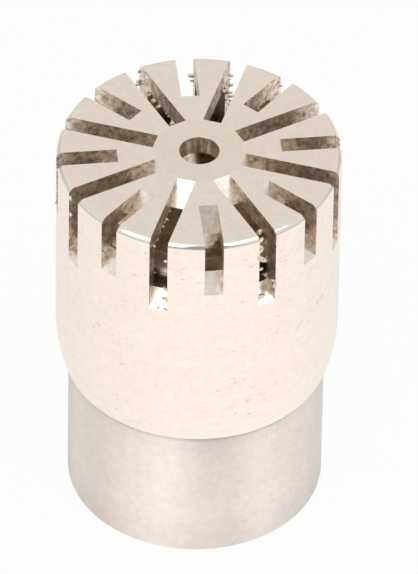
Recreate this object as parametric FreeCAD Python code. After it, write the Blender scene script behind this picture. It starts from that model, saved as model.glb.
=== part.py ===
"""A quarter-inch measurement condenser microphone capsule with its screwed-on protection grid.

Millimetres, +Z up. The capsule stands on its rear rim, whose centre is the origin, and its diaphragm faces up.
Radii run outwards from the axis and heights run upwards from the rear rim. Walls are counted inwards from the
barrel, and heights of the inner pieces are counted downwards from the front of the clamp ring.
"""

import FreeCAD, Part
import math
import os

Vector = FreeCAD.Vector
AXIS = Vector(0, 0, 1)
CENTRE = Vector(0, 0, 0)

# Barrel and its two threads
barrel_radius = 3.175  # a quarter of an inch across
bare_height = 9.0  # rear rim to the front of the clamp ring, with the grid off
thread_pitch = 25.4 / 60  # both threads have 60 turns to the inch
crest_to_pitch_line = 0.3248 * thread_pitch  # in a sixty-degree thread
crest_to_root = 0.5413 * thread_pitch
thread_play = 0.01  # between a thread's pitch line and the cylinder drawn for it
rear_thread_wall = 0.325  # metal left outside the root of the rear thread
thread_to_contact = 0.2  # from the end of the rear thread to the contact face
relief_depth = 0.02
relief_width = 0.25
rear_rim_break = 0.03
neck_length = 1.15  # front of the clamp ring to the shoulder that the grid seats on
front_thread_length = 2.45
front_relief_width = 0.25
front_relief_depth = 0.13
shoulder_break = 0.05
seat_wall = 0.725  # barrel wall outside the insulator

# Protection grid
skirt_wall = 0.325  # over the barrel's full radius
skirt_play = 0.015
skirt_edge = 0.1  # land left at the foot of the skirt
skirt_round_height = 1.35
grid_height = 6.6
front_air_gap = 0.98  # front of the clamp ring to the underside of the plate
plate_thickness = 0.52
chamber_wall = 0.42
chamber_corner = 0.12
ledge_overlap = 0.15  # how far the ledge reaches over the barrel's shoulder
ledge_height = 0.2
lead_in_height = 0.15
rim_chamfer = 0.12
centre_hole_radius = 0.49

# Slots, sawn from the rim with one slitting saw at two depths
slot_pairs = 8
slot_width = 0.46
saw_radius = 25.0
long_slot_inner_radius = 1.12
long_slot_drop = 2.22
short_slot_inner_radius = 2.01
short_slot_drop = 1.61

# Diaphragm and what clamps it
ring_play = 0.08  # between the clamp ring and the grid's ledge
ring_wall = 0.3
ring_fit = 0.01  # between the clamp ring and the neck it is screwed to
ring_lift = 0.15  # clamp ring's foot above the shoulder
ring_edge = 0.07
rim_width = 0.34  # width of the rim that the foil lies on
lip_thickness = 0.12
lip_setback = 0.05
slip_washer_thickness = 0.04
foil_thickness = 0.02
foil_trim = 0.02

# Backplate
air_gap = 0.02  # diaphragm to backplate
backplate_thickness = 0.55
backplate_clearance = 0.2  # round the edge of the backplate
backplate_edge = 0.05
damping_hole_count = 6
damping_hole_radius = 0.16
damping_hole_inset = 0.45  # from the backplate's edge to the middle of a hole
pedestal_radius = 0.55
pedestal_flare = 0.15
stem_radius = 0.4
stem_play = 0.02

# Insulator, its seat and the parts behind it
cavity_depth = 2.35  # rim to the front of the insulator
spacer_thickness = 0.05
insulator_thickness = 1.3
insulator_play = 0.01
insulator_edge = 0.06
vent_hole_radius = 0.08
vent_hole_circle = 1.1
vent_wire_radius = 0.06
vent_wire_stand = 0.12  # how far the wire stands out of each face
spring_height = 0.22
spring_thickness = 0.08
spring_width = 0.5
spring_inset = 0.02  # inside the broken edge of the lock ring
lock_ring_height = 0.7
lock_ring_width = 0.62
lock_ring_edge = 0.06
spanner_slot_count = 4
spanner_slot_width = 0.36
spanner_slot_depth = 0.28

# Terminal at the rear of the stem
stem_washer_thickness = 0.1
stem_washer_radius = 0.95
nut_height = 0.5
nut_flat_radius = 0.72  # half of the distance across flats
nut_corner_break = 0.05
contact_radius = 0.62
contact_length = 1.47
contact_edge = 0.08
stem_reach = 0.55  # how far the stem goes into the contact cap

# Radii that follow
grid_radius = barrel_radius + skirt_wall
skirt_bore = barrel_radius + skirt_play
chamber_radius = grid_radius - chamber_wall
pitch_line = barrel_radius - crest_to_pitch_line  # of the front thread
male_radius = pitch_line - thread_play
female_radius = pitch_line + thread_play
front_relief_radius = male_radius - front_relief_depth
ledge_radius = male_radius - ledge_overlap
rear_thread_root = barrel_radius - rear_thread_wall
rear_thread_radius = rear_thread_root - crest_to_root  # crests of the rear thread
relief_radius = rear_thread_root + relief_depth
insulator_bore = barrel_radius - seat_wall
insulator_radius = insulator_bore - insulator_play
clamp_ring_radius = ledge_radius - ring_play
clamp_ring_bore = clamp_ring_radius - ring_wall
neck_radius = clamp_ring_bore - ring_fit
diaphragm_radius = neck_radius - rim_width
lip_radius = diaphragm_radius + lip_setback
foil_radius = neck_radius - foil_trim
backplate_radius = diaphragm_radius - backplate_clearance
damping_hole_circle = backplate_radius - damping_hole_inset
lock_ring_bore = insulator_radius - lock_ring_width
stem_hole_radius = stem_radius + stem_play

# Heights that follow
plate_underside = bare_height + front_air_gap
grid_top = plate_underside + plate_thickness
skirt_foot = grid_top - grid_height
shoulder_z = bare_height - neck_length
thread_base_z = shoulder_z - front_thread_length
barrel_top_z = thread_base_z - front_relief_width
washer_top_z = bare_height - lip_thickness
foil_top_z = washer_top_z - slip_washer_thickness
rim_z = foil_top_z - foil_thickness
backplate_top_z = rim_z - air_gap
backplate_foot_z = backplate_top_z - backplate_thickness
insulator_top_z = rim_z - cavity_depth
seat_z = insulator_top_z + spacer_thickness
insulator_foot_z = insulator_top_z - insulator_thickness
spring_foot_z = insulator_foot_z - spring_height
lock_ring_foot_z = spring_foot_z - lock_ring_height
nut_top_z = insulator_foot_z - stem_washer_thickness
nut_foot_z = nut_top_z - nut_height
contact_face_z = nut_foot_z - contact_length
rear_thread_length = contact_face_z - thread_to_contact
relief_top_z = rear_thread_length + relief_width


def point(radius, height):
    return Vector(radius, 0, height)


def turned(outline):
    """Solid turned from a closed outline of (radius, height) points. A third entry in a point is the middle
    of the arc that leads to it from the point before."""
    edges = []
    for before, after in zip(outline[-1:] + outline[:-1], outline):
        start, end = point(*before[:2]), point(*after[:2])
        if len(after) == 3:
            edges.append(Part.Arc(start, point(*after[2]), end).toShape())
        else:
            edges.append(Part.LineSegment(start, end).toShape())
    return Part.Face(Part.Wire(edges)).revolve(CENTRE, AXIS, 360)


def ring(inner, outer, foot, top, edge=0.0):
    """Flat ring whose outer corners are broken by edge."""
    return turned([
        (inner, foot),
        (outer - edge, foot),
        (outer, foot + edge),
        (outer, top - edge),
        (outer - edge, top),
        (inner, top),
    ]) if edge else turned([(inner, foot), (outer, foot), (outer, top), (inner, top)])


def round_array(shape, count, first_angle=0.0):
    """Copies of shape spaced evenly about the axis, in degrees from its own place."""
    copies = []
    for index in range(count):
        copy = shape.copy()
        copy.rotate(CENTRE, AXIS, first_angle + index * 360.0 / count)
        copies.append(copy)
    return copies


def saw_cut(inner_radius, drop):
    """The slitting saw at the end of its plunge, cutting a slot towards -Y. Its edge meets the grid's top
    at inner_radius and the grid's side at drop below the top."""
    run = grid_radius - inner_radius
    half_chord = math.hypot(run, drop) / 2
    reach = math.sqrt(saw_radius ** 2 - half_chord ** 2) / (2 * half_chord)
    arbor_radius = (inner_radius + grid_radius) / 2 + drop * reach
    arbor_height = grid_top - drop / 2 + run * reach
    arbor = Vector(-slot_width / 2, -arbor_radius, arbor_height)
    return Part.makeCylinder(saw_radius, slot_width, arbor, Vector(1, 0, 0))


def protection_grid():
    """Turned cap with a plate on top, sixteen sawn slots and a threaded skirt."""
    inset = grid_radius - skirt_bore - skirt_edge
    round_radius = (skirt_round_height ** 2 + inset ** 2) / (2 * inset)
    half_turn = math.asin(skirt_round_height / round_radius) / 2
    round_top = skirt_foot + skirt_round_height
    round_middle = (
        grid_radius - round_radius * (1 - math.cos(half_turn)),
        round_top - round_radius * math.sin(half_turn),
    )
    corner_inset = chamber_corner * (1 - math.sqrt(0.5))
    corner_middle = (chamber_radius - corner_inset, plate_underside - corner_inset)
    ledge_top = shoulder_z + ledge_height
    lead_in_foot = thread_base_z - lead_in_height
    cap = turned([
        (centre_hole_radius, grid_top),
        (centre_hole_radius, plate_underside),
        (chamber_radius - chamber_corner, plate_underside),
        (chamber_radius, plate_underside - chamber_corner, corner_middle),
        (chamber_radius, ledge_top + chamber_radius - ledge_radius),
        (ledge_radius, ledge_top),
        (ledge_radius, shoulder_z),
        (female_radius, shoulder_z),
        (female_radius, thread_base_z),
        (skirt_bore, lead_in_foot),
        (skirt_bore, skirt_foot),
        (skirt_bore + skirt_edge, skirt_foot),
        (grid_radius, round_top, round_middle),
        (grid_radius, grid_top - rim_chamfer),
        (grid_radius - rim_chamfer, grid_top),
    ])
    half_pitch = 180.0 / slot_pairs
    cuts = round_array(saw_cut(short_slot_inner_radius, short_slot_drop), slot_pairs)
    cuts += round_array(saw_cut(long_slot_inner_radius, long_slot_drop), slot_pairs, half_pitch)
    return cap.cut(cuts)


def housing():
    """Barrel turned from bar: rear socket thread, insulator bore and seat, front thread, neck and rim."""
    mouth_height = rear_thread_root - rear_thread_radius
    return turned([
        (rear_thread_root, 0),
        (barrel_radius - rear_rim_break, 0),
        (barrel_radius, rear_rim_break),
        (barrel_radius, barrel_top_z - shoulder_break),
        (barrel_radius - shoulder_break, barrel_top_z),
        (front_relief_radius, barrel_top_z),
        (front_relief_radius, thread_base_z),
        (male_radius, thread_base_z),
        (male_radius, shoulder_z - shoulder_break),
        (male_radius - shoulder_break, shoulder_z),
        (neck_radius, shoulder_z),
        (neck_radius, rim_z),
        (diaphragm_radius, rim_z),
        (diaphragm_radius, seat_z),
        (insulator_bore, seat_z),
        (insulator_bore, relief_top_z),
        (relief_radius, relief_top_z),
        (relief_radius, rear_thread_length),
        (rear_thread_radius, rear_thread_length),
        (rear_thread_radius, mouth_height),
    ])


def diaphragm():
    """Metal foil, stretched flat over the rim."""
    return Part.makeCylinder(foil_radius, foil_thickness, point(0, rim_z))


def slip_washer():
    """Thin washer that keeps the clamp ring from dragging the foil round."""
    return ring(lip_radius, foil_radius, foil_top_z, washer_top_z)


def clamp_ring():
    """Ring screwed down over the neck. Its lip presses washer and foil on to the rim."""
    foot = shoulder_z + ring_lift
    return turned([
        (clamp_ring_bore, foot),
        (clamp_ring_radius, foot),
        (clamp_ring_radius, bare_height - ring_edge),
        (clamp_ring_radius - ring_edge, bare_height),
        (lip_radius + lip_thickness / 2, bare_height),
        (lip_radius, washer_top_z + lip_thickness / 2),
        (lip_radius, washer_top_z),
        (clamp_ring_bore, washer_top_z),
    ])


def backplate():
    """Perforated electrode, turned in one piece with its pedestal and threaded stem."""
    stem_foot = nut_foot_z - stem_reach
    body = turned([
        (0, stem_foot),
        (stem_radius, stem_foot),
        (stem_radius, insulator_top_z),
        (pedestal_radius, insulator_top_z),
        (pedestal_radius, backplate_foot_z - pedestal_flare),
        (pedestal_radius + pedestal_flare, backplate_foot_z),
        (backplate_radius, backplate_foot_z),
        (backplate_radius, backplate_top_z - backplate_edge),
        (backplate_radius - backplate_edge, backplate_top_z),
        (0, backplate_top_z),
    ])
    hole = Part.makeCylinder(
        damping_hole_radius, backplate_thickness, point(damping_hole_circle, backplate_foot_z)
    )
    return body.cut(round_array(hole, damping_hole_count))


def insulator():
    """Polished quartz disc that carries the backplate, with a capillary hole for the pressure vent."""
    disc = turned([
        (stem_hole_radius, insulator_foot_z),
        (insulator_radius - insulator_edge, insulator_foot_z),
        (insulator_radius, insulator_foot_z + insulator_edge),
        (insulator_radius, insulator_top_z - insulator_edge),
        (insulator_radius - insulator_edge, insulator_top_z),
        (stem_hole_radius, insulator_top_z),
    ])
    vent = Part.makeCylinder(
        vent_hole_radius, insulator_thickness, point(vent_hole_circle, insulator_foot_z)
    )
    return disc.cut(vent)


def spacer_ring():
    """Shim between the insulator and its seat, chosen to set the diaphragm's air gap."""
    return ring(lip_radius, insulator_radius, insulator_top_z, seat_z)


def vent_wire():
    """Silver wire that chokes the capillary hole and lies against its outer side."""
    length = insulator_thickness + 2 * vent_wire_stand
    foot = point(vent_hole_circle + vent_hole_radius - vent_wire_radius, insulator_foot_z - vent_wire_stand)
    return Part.makeCylinder(vent_wire_radius, length, foot)


def spring_washer():
    """Coned spring washer between the insulator and the lock ring."""
    outer = insulator_radius - lock_ring_edge - spring_inset
    inner = outer - spring_width
    return turned([
        (outer, spring_foot_z),
        (outer, spring_foot_z + spring_thickness),
        (inner, insulator_foot_z),
        (inner, insulator_foot_z - spring_thickness),
    ])


def lock_ring():
    """Threaded ring that holds the insulator, with slots in its rear face for a spanner."""
    body = ring(lock_ring_bore, insulator_radius, lock_ring_foot_z, spring_foot_z, lock_ring_edge)
    slot = Part.makeBox(
        insulator_radius,
        spanner_slot_width,
        spanner_slot_depth,
        Vector(0, -spanner_slot_width / 2, lock_ring_foot_z),
    )
    return body.cut(round_array(slot, spanner_slot_count, 180.0 / spanner_slot_count))


def stem_washer():
    """Washer between the nut and the insulator."""
    return ring(stem_hole_radius, stem_washer_radius, nut_top_z, insulator_foot_z)


def stem_nut():
    """Hexagon nut that draws the backplate on to the insulator."""
    corner_radius = nut_flat_radius / math.cos(math.pi / 6)
    corners = [
        Vector(
            corner_radius * math.cos(step * math.pi / 3),
            corner_radius * math.sin(step * math.pi / 3),
            nut_foot_z,
        )
        for step in range(6)
    ]
    prism = Part.Face(Part.makePolygon(corners + corners[:1])).extrude(AXIS * nut_height)
    barrel = turned([
        (stem_hole_radius, nut_foot_z),
        (corner_radius - nut_corner_break, nut_foot_z),
        (corner_radius, nut_foot_z + nut_corner_break),
        (corner_radius, nut_top_z),
        (stem_hole_radius, nut_top_z),
    ])
    return prism.common(barrel)


def contact_terminal():
    """Gilt cap on the end of the stem. Its flat face is the output contact."""
    bore_foot = nut_foot_z - stem_reach
    return turned([
        (0, contact_face_z),
        (contact_radius - contact_edge, contact_face_z),
        (contact_radius, contact_face_z + contact_edge),
        (contact_radius, nut_foot_z),
        (stem_hole_radius, nut_foot_z),
        (stem_hole_radius, bore_foot),
        (0, bore_foot),
    ])


pieces = [
    protection_grid,
    housing,
    diaphragm,
    slip_washer,
    clamp_ring,
    backplate,
    insulator,
    spacer_ring,
    vent_wire,
    spring_washer,
    lock_ring,
    stem_washer,
    stem_nut,
    contact_terminal,
]

os.makedirs("parts", exist_ok=True)
for piece in pieces:
    shape = piece()
    shape.exportStep("parts/" + piece.__name__ + ".step")
    print(piece.__name__, round(shape.Volume, 4), "valid" if shape.isValid() else "not valid")
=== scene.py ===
"""Looks of a quarter-inch measurement microphone capsule with its slotted protection grid screwed on.

Each section makes one piece, or one group of like pieces, in the order in which the capsule is put together
from the outside in. Meshes are worked out in millimetres and become metres when a piece is finished.
"""

import math
from functools import partial

import bmesh
import bpy
from mathutils import Matrix, Quaternion, Vector


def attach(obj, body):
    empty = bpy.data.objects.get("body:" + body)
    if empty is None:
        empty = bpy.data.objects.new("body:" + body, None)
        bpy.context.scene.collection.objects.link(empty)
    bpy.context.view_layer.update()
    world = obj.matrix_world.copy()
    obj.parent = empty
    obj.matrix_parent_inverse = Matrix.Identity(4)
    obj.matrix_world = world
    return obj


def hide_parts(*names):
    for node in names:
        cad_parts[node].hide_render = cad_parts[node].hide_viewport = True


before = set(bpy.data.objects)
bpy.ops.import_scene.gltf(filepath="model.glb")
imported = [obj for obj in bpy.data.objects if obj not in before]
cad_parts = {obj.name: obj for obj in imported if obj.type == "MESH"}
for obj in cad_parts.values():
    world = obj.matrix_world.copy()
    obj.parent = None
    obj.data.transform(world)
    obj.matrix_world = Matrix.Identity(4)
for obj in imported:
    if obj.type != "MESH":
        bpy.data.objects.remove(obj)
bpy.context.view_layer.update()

# Camera. A long lens from the front, well above the capsule and a little to its left, as in the photograph,
# where the whole capsule stands upright with a slight lean to the right.
MM = 0.001
camera_azimuth = math.radians(-6.8)
camera_elevation = math.radians(42.59)
camera_lean = math.radians(0.95)
camera_distance = 280.7
camera_lens = 711.9
camera_target = Vector((0.29, -0.034, 5.968))


def way_towards(azimuth, elevation):
    """Unit vector from the capsule towards a place given by two angles. Azimuth 0 is straight in front."""
    level = math.cos(elevation)
    return Vector((math.sin(azimuth) * level, -math.cos(azimuth) * level, math.sin(elevation)))


toward_camera = way_towards(camera_azimuth, camera_elevation)
camera = bpy.data.objects.new("photo_camera", bpy.data.cameras.new("photo_camera"))
camera.data.sensor_width = 36.0
camera.data.lens = camera_lens
camera.data.clip_start = 0.01
camera.data.clip_end = 10.0
camera.location = (camera_target + toward_camera * camera_distance) * MM
camera.rotation_mode = "QUATERNION"
camera.rotation_quaternion = (-toward_camera).to_track_quat("-Z", "Y") @ Quaternion((0, 0, 1), camera_lean)
bpy.context.scene.collection.objects.link(camera)
bpy.context.scene.camera = camera
bpy.context.scene.view_settings.view_transform = "Standard"

# Studio. A white sheet under the capsule and a white room round it. The camera, mirrors and glass see them
# as white paper, with the capsule's soft shadow left on the sheet. Mirrors see the shadow deeper, the sheet
# dimmer behind the capsule, and the low part of the room behind the camera dimmer.
sheet_white = (0.93, 0.93, 0.93, 1.0)
sheet_half = 160.0
sheet_shadow = 0.04
mirrored_shadow = 0.25
mirrored_level = 1.17
mirrored_far_side = 0.84
mirrored_turn = math.radians(12)
room_light = 0.62
room_back = 1.0
room_front = 0.45
room_front_edge = (0.80, 0.98)
room_front_top = (0.82, 0.70)
room_horizon = 0.72
room_horizon_height = 0.5
lamp_aim = Vector((0, 0, 6))
lamp_distance = 60
lamp_width = 40


def feed(node, inputs):
    """Sets a node's inputs, each to a value or to the socket that feeds it."""
    for place, value in inputs.items():
        if isinstance(value, bpy.types.NodeSocket):
            node.id_data.links.new(value, node.inputs[place])
        else:
            node.inputs[place].default_value = value


def add_node(tree, kind, inputs=None, **settings):
    """New node of a shader or geometry tree, set up and fed."""
    node = tree.nodes.new(kind)
    for name, value in settings.items():
        setattr(node, name, value)
    feed(node, inputs or {})
    return node


def math_step(tree, operation, *values, clamp=False):
    """Result of a math node whose inputs are sockets or numbers."""
    inputs = dict(enumerate(values))
    return add_node(tree, "ShaderNodeMath", inputs, operation=operation, use_clamp=clamp).outputs[0]


def vector_step(tree, operation, *values, **named):
    """Result of a vector math node whose inputs are sockets or values: a number where it measures, else a
    vector."""
    node = add_node(tree, "ShaderNodeVectorMath", dict(enumerate(values)) | named, operation=operation)
    return node.outputs["Value" if operation in ("DOT_PRODUCT", "DISTANCE", "LENGTH") else "Vector"]


def mapped(tree, value, start, end, at_start=0.0, at_end=1.0, how="SMOOTHSTEP"):
    """Value that goes from at_start to at_end while another goes from start to end."""
    inputs = {"Value": value, "From Min": start, "From Max": end, "To Min": at_start, "To Max": at_end}
    return add_node(tree, "ShaderNodeMapRange", inputs, interpolation_type=how).outputs["Result"]


def either(tree, kind, factor, first, second):
    """Mix of two shaders or two numbers, the first at 0 and the second at 1."""
    places = ("Fac", 1, 2) if kind == "ShaderNodeMixShader" else ("Factor", "A", "B")
    return add_node(tree, kind, dict(zip(places, (factor, first, second)))).outputs[0]


world = bpy.data.worlds.new("white_room")
world.use_nodes = True
bpy.context.scene.world = world
tree = world.node_tree
tree.nodes.clear()
ray = add_node(tree, "ShaderNodeLightPath").outputs
facing = add_node(tree, "ShaderNodeTexCoord").outputs["Generated"]
height = add_node(tree, "ShaderNodeSeparateXYZ", {0: facing}).outputs["Z"]
front = mapped(tree, vector_step(tree, "DOT_PRODUCT", facing, toward_camera), *room_front_edge)
front = math_step(tree, "MULTIPLY", front, mapped(tree, height, *room_front_top))
walls = math_step(tree, "MULTIPLY_ADD", front, room_front - room_back, room_back)
walls = math_step(tree, "MULTIPLY", walls, mapped(tree, height, 0.0, room_horizon_height, room_horizon))
glow, mirrored, white = (
    add_node(tree, "ShaderNodeBackground", {"Strength": strength}).outputs[0] for strength in (room_light,
                                                                                               walls, 1.0)
)
mirrored = either(tree, "ShaderNodeMixShader", ray["Is Glossy Ray"], glow, mirrored)
seen = either(tree, "ShaderNodeMixShader", ray["Is Camera Ray"], mirrored, white)
add_node(tree, "ShaderNodeOutputWorld", {"Surface": seen})

paper = bpy.data.materials.new("white_paper")
paper.use_nodes = True
tree = paper.node_tree
tree.nodes.clear()
ray = add_node(tree, "ShaderNodeLightPath").outputs
ground = add_node(tree, "ShaderNodeTexCoord").outputs["Object"]
bright_side = way_towards(camera_azimuth + mirrored_turn, 0)
ahead = vector_step(tree, "DOT_PRODUCT", vector_step(tree, "NORMALIZE", ground), bright_side)
level = mapped(tree, ahead, -1.0, 1.0, mirrored_far_side * mirrored_level, mirrored_level, "LINEAR")
level = either(tree, "ShaderNodeMix", ray["Is Camera Ray"], level, 1.0)
share = either(tree, "ShaderNodeMix", ray["Is Camera Ray"], 1.0 - mirrored_shadow, 1.0 - sheet_shadow)
seen = math_step(tree, "MAXIMUM", ray["Is Camera Ray"], ray["Is Glossy Ray"])
seen = math_step(tree, "MAXIMUM", seen, ray["Is Transmission Ray"])
share = math_step(tree, "MULTIPLY", seen, share)
matt = add_node(tree, "ShaderNodeBsdfDiffuse", {"Color": sheet_white}).outputs[0]
bright = add_node(tree, "ShaderNodeEmission", {"Strength": level}).outputs[0]
add_node(tree, "ShaderNodeOutputMaterial", {"Surface": either(tree, "ShaderNodeMixShader", share, matt,
                                                              bright)})

sheet_mesh = bpy.data.meshes.new("paper_sheet")
sheet_edge = sheet_half * MM
sheet_corners = [(x * sheet_edge, y * sheet_edge, 0) for x, y in ((-1, -1), (1, -1), (1, 1), (-1, 1))]
sheet_mesh.from_pydata(sheet_corners, [], [(0, 1, 2, 3)])
sheet_mesh.materials.append(paper)
sheet = bpy.data.objects.new("paper_sheet", sheet_mesh)
bpy.context.scene.collection.objects.link(sheet)


def soft_lamp(name, azimuth, elevation, height, power):
    """Soft box aimed at the middle of the capsule. Angles in degrees, its height in mm, power in watts."""
    data = bpy.data.lights.new(name, "AREA")
    data.shape = "RECTANGLE"
    data.size = lamp_width * MM
    data.size_y = height * MM
    data.energy = power
    lamp = bpy.data.objects.new(name, data)
    away = way_towards(math.radians(azimuth), math.radians(elevation))
    lamp.location = (lamp_aim + away * lamp_distance) * MM
    lamp.rotation_mode = "QUATERNION"
    lamp.rotation_quaternion = (-away).to_track_quat("-Z", "Y")
    bpy.context.scene.collection.objects.link(lamp)


soft_lamp("left_softbox", -43, 53, 26, 0.0046)
soft_lamp("right_softbox", 44, 55, 22, 0.0037)

# Metal finishes. The metal is turned, lapped or sawn nickel alloy, silver, brass and steel. Its colour
# drifts in clouds, tool lines run round the axis on turned faces, short scratches lie at random, and there
# are small pits.
scratch_ways = ((0.2, 1.0), (1.3, -1.0), (2.3, 1.0))
relief_depth = 0.02


def new_group(name, kind, inputs, outputs):
    """Node group and the sockets of its input node. Inputs and outputs are names, kinds of socket and
    defaults."""
    group = bpy.data.node_groups.new(name, kind)
    for direction, sockets in (("INPUT", inputs), ("OUTPUT", outputs)):
        for label, socket_kind, *default in sockets:
            made = group.interface.new_socket(name=label, in_out=direction,
                                              socket_type="NodeSocket" + socket_kind)
            if default:
                made.default_value = default[0]
    return group, add_node(group, "NodeGroupInput").outputs


def scaled_noise(tree, place, scale, detail=2.0, roughness=0.5, w=None):
    """Noise over a vector that is first stretched by scale, in cycles per unit. With w it is 4D noise."""
    place = vector_step(tree, "MULTIPLY", place, scale)
    inputs = {"Vector": place, "Scale": 1.0, "Detail": detail, "Roughness": roughness}
    if w is None:
        return add_node(tree, "ShaderNodeTexNoise", inputs).outputs["Fac"]
    return add_node(tree, "ShaderNodeTexNoise", inputs | {"W": w}, noise_dimensions="4D").outputs["Fac"]


def place_in_mm(tree):
    """Sockets of a point's place in mm and of its distance from the axis."""
    place = add_node(tree, "ShaderNodeTexCoord").outputs["Object"]
    spot = vector_step(tree, "SCALE", place, Scale=1.0 / MM)
    return spot, vector_step(tree, "LENGTH", vector_step(tree, "MULTIPLY", spot, (1, 1, 0)))


def blend(tree, factor, first, second, how="MIX"):
    """Colour mixed from two colours."""
    inputs = {"Factor": factor, "A": first, "B": second}
    return add_node(tree, "ShaderNodeMix", inputs, data_type="RGBA", blend_type=how).outputs["Result"]


def worn_metal_group():
    """Node group for worn metal: clouds of a second colour, tool lines round the axis, scratches and
    pits."""
    group, given = new_group("worn_metal", "ShaderNodeTree", [
        ("Base", "Color", (0.7, 0.65, 0.6, 1)),
        ("Cloud", "Color", (0.6, 0.6, 0.6, 1)),
        ("Pit", "Color", (0.58, 0.43, 0.31, 1)),
        ("Clouds", "Float", 0.3),
        ("Blotch", "Float", 0.1),
        ("Turned lines", "Float", 0.3),
        ("Scratches", "Float", 0.2),
        ("Pits", "Float", 0.3),
        ("Roughness", "Float", 0.35),
    ], [("Color", "Color"), ("Roughness", "Float"), ("Height", "Float")])
    step, noise = partial(math_step, group), partial(scaled_noise, group)
    spot, radius = place_in_mm(group)

    lines = noise(spot, (0.5, 0.5, 10.0), detail=3.0, roughness=0.8, w=step("MULTIPLY", radius, 9.0))
    lines = step("MULTIPLY", step("SUBTRACT", lines, 0.5), given["Turned lines"])
    marks = 0.0
    for angle, sign in scratch_ways:
        turn = add_node(group, "ShaderNodeVectorRotate", {"Vector": spot, "Angle": angle},
                        rotation_type="Z_AXIS")
        streak = noise(turn.outputs[0], (26.0, 1.8, 2.2), detail=1.0)
        streak = step("MULTIPLY", step("SUBTRACT", streak, 0.6), 7.0, clamp=True)
        marks = step("MULTIPLY_ADD", streak, sign, marks)
    relief = step("ADD", lines, step("MULTIPLY", marks, given["Scratches"]))

    pits = noise(spot, (4.6, 4.6, 8.0), detail=2.0, roughness=0.55)
    clusters = step("MULTIPLY_ADD", noise(spot, (0.8, 0.8, 1.2), detail=2.0), 0.5, -0.903)
    pits = step("MULTIPLY", step("ADD", pits, clusters), 4.0, clamp=True)
    pits = step("MULTIPLY", pits, given["Pits"], clamp=True)

    clouds = noise(spot, (1.3, 1.3, 1.0), detail=3.0, roughness=0.6)
    clouds = step("MULTIPLY", step("SUBTRACT", clouds, 0.3), 2.5, clamp=True)
    clouds = step("MULTIPLY", clouds, given["Clouds"])
    blotch = noise(spot, (5.0, 5.0, 4.0), detail=5.0, roughness=0.7)
    blotch = step("MULTIPLY", step("SUBTRACT", blotch, 0.5), given["Blotch"])
    tone = step("ADD", step("MULTIPLY_ADD", relief, 0.3, blotch), 1.0)
    colour = vector_step(group, "SCALE", blend(group, clouds, given["Base"], given["Cloud"]), Scale=tone)
    rough = step("MULTIPLY_ADD", relief, 0.2, given["Roughness"])
    add_node(group, "NodeGroupOutput", {
        "Color": blend(group, pits, colour, given["Pit"]),
        "Roughness": step("MULTIPLY_ADD", pits, 0.3, rough, clamp=True),
        "Height": step("MULTIPLY_ADD", pits, -0.8, relief),
    })
    return group


worn_metal = worn_metal_group()


def metal(name, base, roughness, cloud=None, edge_tint=None, bump=0.15, **wear_values):
    """Metal with the worn finish. Colours are linear. Other keywords set the finish's own inputs."""
    material = bpy.data.materials.new(name)
    material.use_nodes = True
    tree = material.node_tree
    values = {"Base": (*base, 1.0), "Cloud": (*(cloud or base), 1.0), "Roughness": roughness}
    values |= {key.replace("_", " ").capitalize(): value for key, value in wear_values.items()}
    wear = add_node(tree, "ShaderNodeGroup", values, name="wear", node_tree=worn_metal)
    bumps = {"Strength": bump, "Distance": relief_depth * MM, "Height": wear.outputs["Height"]}
    relief = add_node(tree, "ShaderNodeBump", bumps, name="relief")
    shader = tree.nodes["Principled BSDF"]
    feed(shader, {
        "Metallic": 1.0,
        "Base Color": wear.outputs["Color"],
        "Roughness": wear.outputs["Roughness"],
        "Normal": relief.outputs["Normal"],
    })
    if edge_tint:
        feed(shader, {"Specular Tint": (*edge_tint, 1.0)})
    return material


def tone_down(material, tone):
    """Scales a finish's colour by a tone that changes over the surface."""
    tree = material.node_tree
    colour = vector_step(tree, "SCALE", tree.nodes["wear"].outputs["Color"], Scale=tone)
    feed(tree.nodes["Principled BSDF"], {"Base Color": colour})


# Protection grid. A thin cap of nickel alloy turned from bar, with its top lapped flat. Sixteen slots are
# sawn from the rim inwards with one slitting saw, long and short by turns, and leave burrs on the plate. It
# screws over the front of the barrel by the fine thread inside its skirt.
grid_top = 10.5
grid_foot = 3.9
grid_radius = 3.5
skirt_bore = 3.19
skirt_land = 0.1
skirt_round_height = 1.35
plate_thickness = 0.52
chamber_radius = 3.08
chamber_corner = 0.12
ledge_radius = 2.8775
shoulder_z = 7.85
ledge_height = 0.2
thread_bore = 3.0475
thread_foot_z = 5.4
lead_in_height = 0.15
rim_chamfer = 0.11
rim_soft = 0.12
edge_break = 0.015
centre_hole_radius = 0.49
thread_pitch = 25.4 / 60
thread_flat = 0.125
thread_flank = 0.7
thread_run_out = 0.125
thread_point_gap = 0.03
front_thread_depth = 0.115
slot_pairs = 8
slot_width = 0.46
saw_radius = 25.0
saw_overrun = 0.2
long_slot = (1.12, 2.22)
short_slot = (2.01, 1.61)
slots_foot_z = 8.2
turning_steps = 384
# Centre of a small green spot on one slot wall.
green_spot = (-3.12, -1.04, 10.22)


def even_points(start, end, step):
    """Points from start up to, but not including, end, no more than step apart."""
    count = max(1, math.ceil(math.dist(start, end) / step))
    return [
        (start[0] + (end[0] - start[0]) * i / count, start[1] + (end[1] - start[1]) * i / count)
        for i in range(count)
    ]


def quarter_round(centre, radius, first_angle, last_angle, steps=6):
    """Points of an arc about centre, angles in degrees from the outward radial direction."""
    angles = [math.radians(first_angle + (last_angle - first_angle) * i / steps) for i in range(steps + 1)]
    return [(centre[0] + radius * math.cos(angle),
             centre[1] + radius * math.sin(angle)) for angle in angles]


def scene_object(name, mesh):
    made = bpy.data.objects.new(name, mesh)
    bpy.context.scene.collection.objects.link(made)
    return made


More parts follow.
